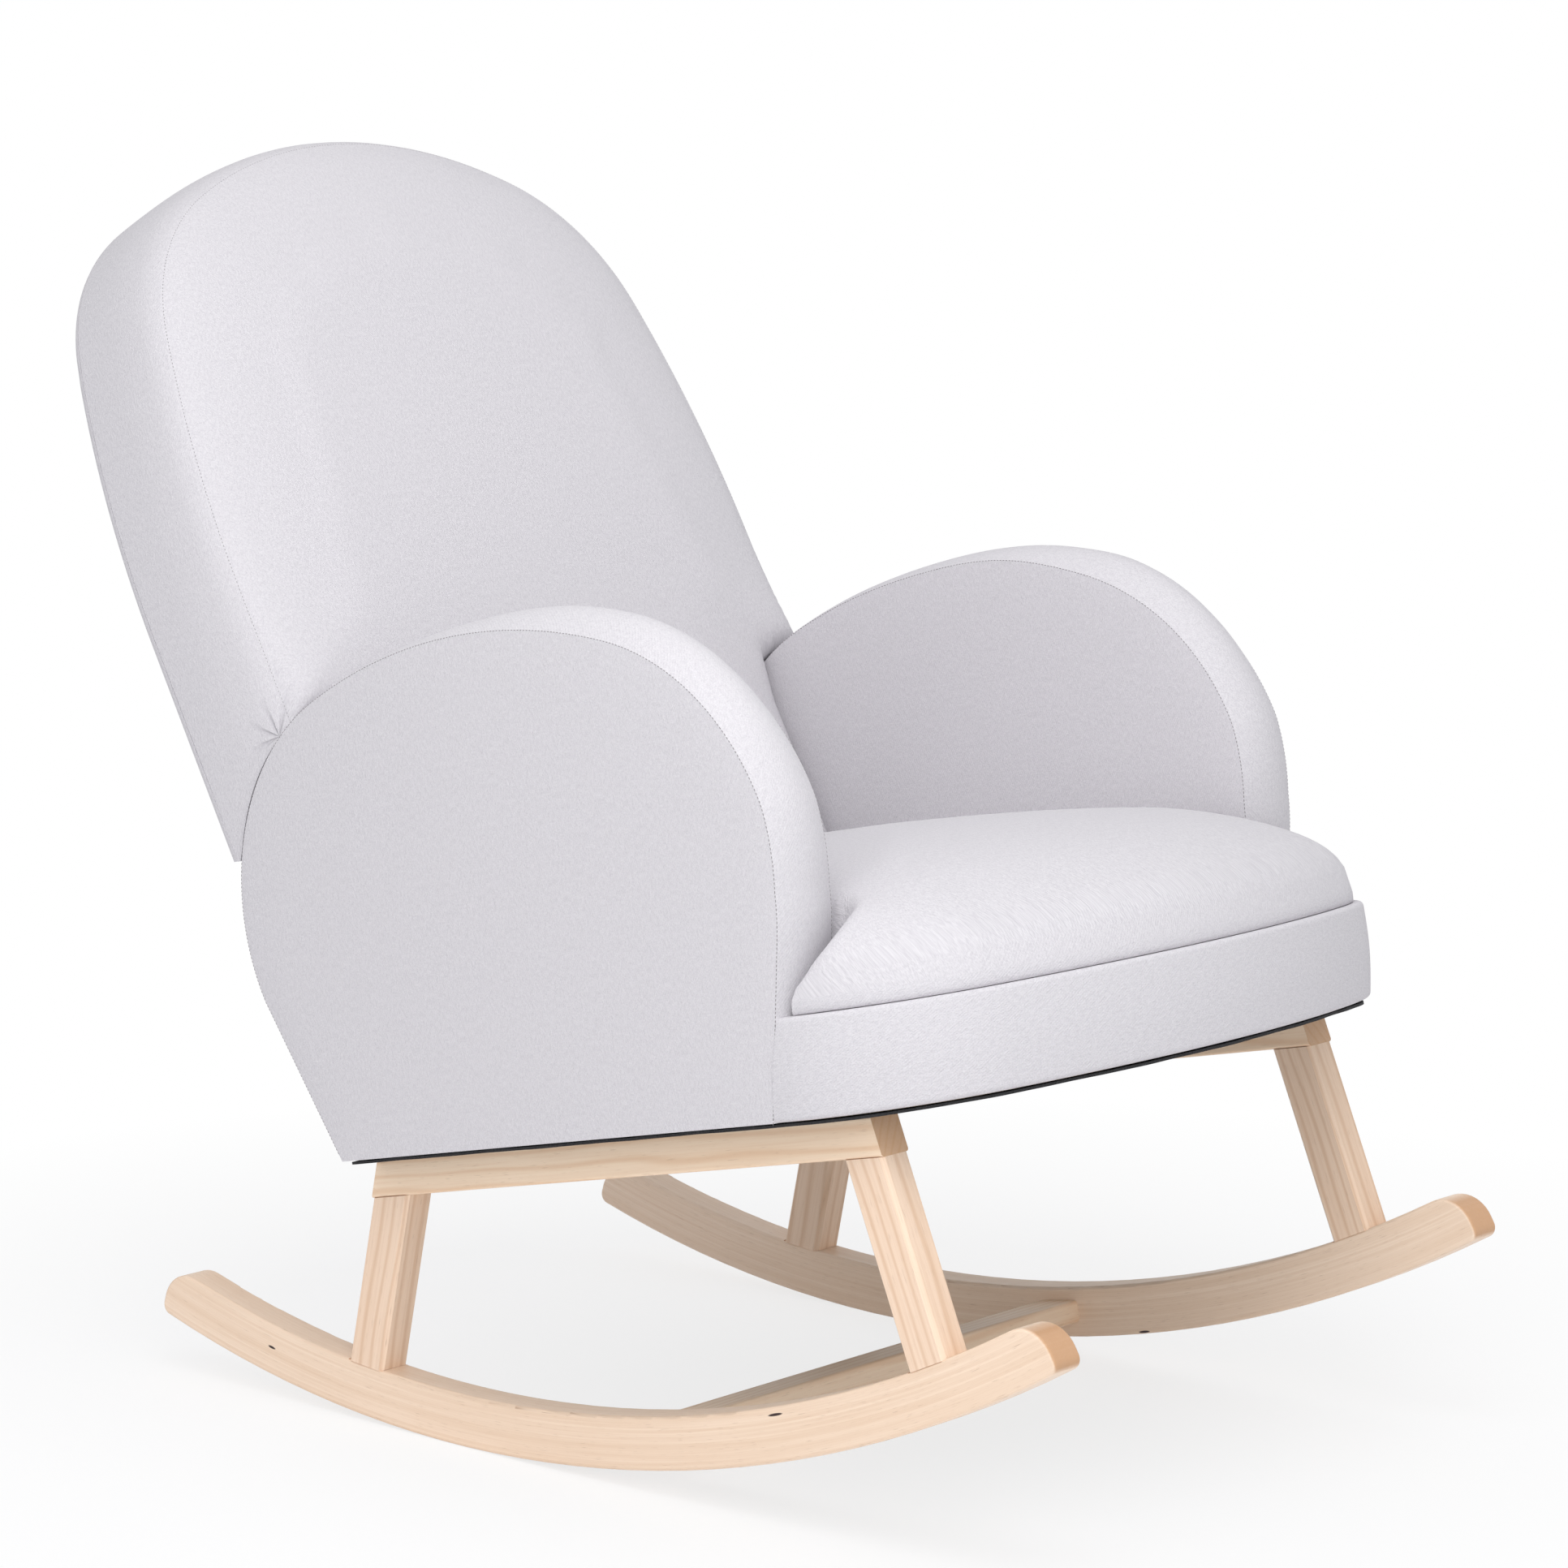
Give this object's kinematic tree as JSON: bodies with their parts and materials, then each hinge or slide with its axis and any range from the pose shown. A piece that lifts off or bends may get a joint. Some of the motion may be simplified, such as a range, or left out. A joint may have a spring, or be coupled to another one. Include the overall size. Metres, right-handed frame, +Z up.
{
  "type": "upholstered rocking chair",
  "caption": "Upholstered rocking chair: arched padded back, half-round padded arms and a loose bow-fronted seat cushion on pale wooden rockers with raked legs.",
  "frame": {"origin": "on the floor, under the middle of the chair's outer box, with the chair at rest on its rockers", "axes": "+Z up, -Y the way the sitter faces, +X towards the sitter's left hand"},
  "size_m": [0.6, 1.0408, 0.9538],
  "materials": {
    "pale_wood": "satin clear lacquer",
    "plywood": "raw sawn",
    "upholstery": "off-white woven upholstery cloth",
    "deck_felt": "felted deck cloth",
    "dust_cloth": "black non-woven cloth",
    "webbing": "elastic woven strap",
    "steel": "zinc plated"
  },
  "bodies": {
    "chair": {"rocker_left": "pale_wood", "rocker_right": "pale_wood", "front_leg_left": "pale_wood", "front_leg_right": "pale_wood", "rear_leg_left": "pale_wood", "rear_leg_right": "pale_wood", "side_rail_left": "pale_wood", "side_rail_right": "pale_wood", "stretcher": "pale_wood", "leg_dowels": "pale_wood", "stretcher_dowels": "pale_wood", "base_bolts": "steel", "base_sleeves": "steel", "arm_bolts": "steel", "arm_washers": "steel", "back_bolts": "steel", "seat_front_rail": "plywood", "seat_rear_rail": "plywood", "seat_side_rail_left": "plywood", "seat_side_rail_right": "plywood", "seat_corner_blocks": "plywood", "seat_webbing": "webbing", "deck_pad": "deck_felt", "seat_front_border": "upholstery", "dust_cover": "dust_cloth", "arm_frame_left": "plywood", "arm_frame_right": "plywood", "arm_pad_left": "upholstery", "arm_pad_right": "upholstery", "back_frame": "plywood", "back_board": "plywood", "back_webbing": "webbing", "back_pad": "upholstery", "back_panel": "upholstery"},
    "cushion": {"seat_cushion": "upholstery"}
  },
  "joints": [
    {"name": "cushion_draw", "type": "slide", "parent": "chair", "child": "cushion", "axis": [0, -0.9778, 0.2096], "range_m": [0, 0.5]}
  ]
}
